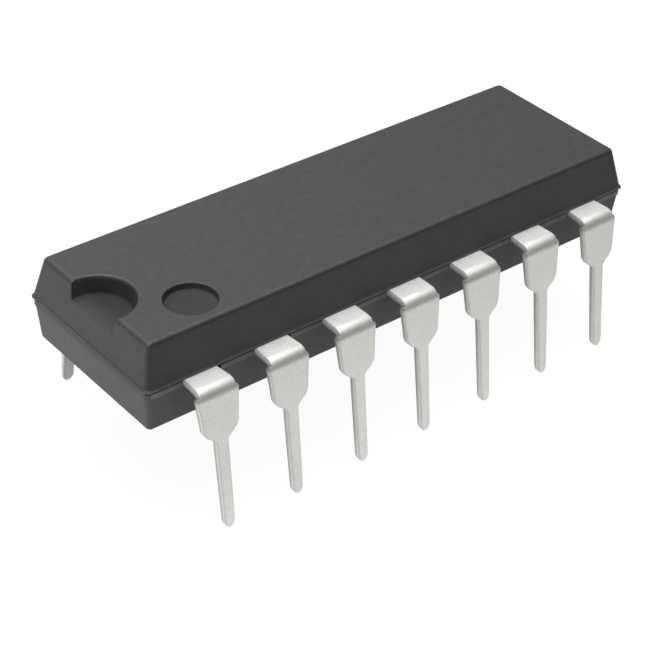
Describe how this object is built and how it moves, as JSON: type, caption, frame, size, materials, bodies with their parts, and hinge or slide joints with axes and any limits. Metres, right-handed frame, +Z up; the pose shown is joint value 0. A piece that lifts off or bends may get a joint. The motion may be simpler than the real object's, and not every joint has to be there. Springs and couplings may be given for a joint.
{
  "type": "dip integrated circuit chip",
  "caption": "Moulded dual in-line integrated circuit package with two rows of formed tin-plated leads, a notch and a dimple for orientation, and its lead frame, die and wires inside.",
  "frame": {"origin": "centre of the package, on the plane of the lead tips", "axes": "+X along the body, away from the notch; +Y across the body; +Z up, away from the lead tips"},
  "size_m": [0.019, 0.009, 0.0063],
  "materials": {
    "moulding_resin": "fine matt moulded epoxy, grey-black",
    "tin_plating": "satin tin plating with softly coined edges",
    "lead_frame_copper": "bare rolled copper alloy",
    "die_adhesive": "cured silver-filled epoxy",
    "silicon": "polished silicon",
    "gold_wire": "bright drawn gold"
  },
  "bodies": {
    "root": {"moulded_body": "moulding_resin", "lead_01": "tin_plating", "lead_02": "tin_plating", "lead_03": "tin_plating", "lead_04": "tin_plating", "lead_05": "tin_plating", "lead_06": "tin_plating", "lead_07": "tin_plating", "lead_08": "tin_plating", "lead_09": "tin_plating", "lead_10": "tin_plating", "lead_11": "tin_plating", "lead_12": "tin_plating", "lead_13": "tin_plating", "lead_14": "tin_plating", "die_paddle": "lead_frame_copper", "die_attach": "die_adhesive", "silicon_die": "silicon", "bond_wire_01": "gold_wire", "bond_wire_02": "gold_wire", "bond_wire_03": "gold_wire", "bond_wire_04": "gold_wire", "bond_wire_05": "gold_wire", "bond_wire_06": "gold_wire", "bond_wire_07": "gold_wire", "bond_wire_08": "gold_wire", "bond_wire_09": "gold_wire", "bond_wire_10": "gold_wire", "bond_wire_11": "gold_wire", "bond_wire_12": "gold_wire", "bond_wire_13": "gold_wire", "bond_wire_14": "gold_wire"}
  },
  "joints": []
}
